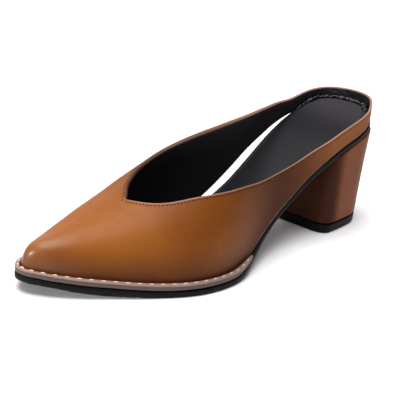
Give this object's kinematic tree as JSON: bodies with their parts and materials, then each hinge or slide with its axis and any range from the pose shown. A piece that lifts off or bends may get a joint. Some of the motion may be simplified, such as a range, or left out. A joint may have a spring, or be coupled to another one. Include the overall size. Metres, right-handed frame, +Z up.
{
  "type": "mule",
  "caption": "Block heel mule for the left foot: pointed toe, deep V throat, low open sides running into a narrow band round the heel, welted thin sole",
  "frame": {"origin": "middle of the bounding box on the floor", "axes": "+X along the heel's centreline to the toe, +Y to the outer side of the left foot, +Z up"},
  "size_m": [0.2488, 0.0886, 0.0781],
  "materials": {
    "tan_leather": "smooth satin",
    "heel_leather": "smooth satin",
    "sock_leather": "smooth satin",
    "welt_leather": "matte",
    "sole_rubber": "matte"
  },
  "bodies": {
    "root": {"upper": "tan_leather", "insole": "sock_leather", "welt": "welt_leather", "outsole": "sole_rubber", "heel": "heel_leather", "heel_tip": "sole_rubber"}
  },
  "joints": []
}
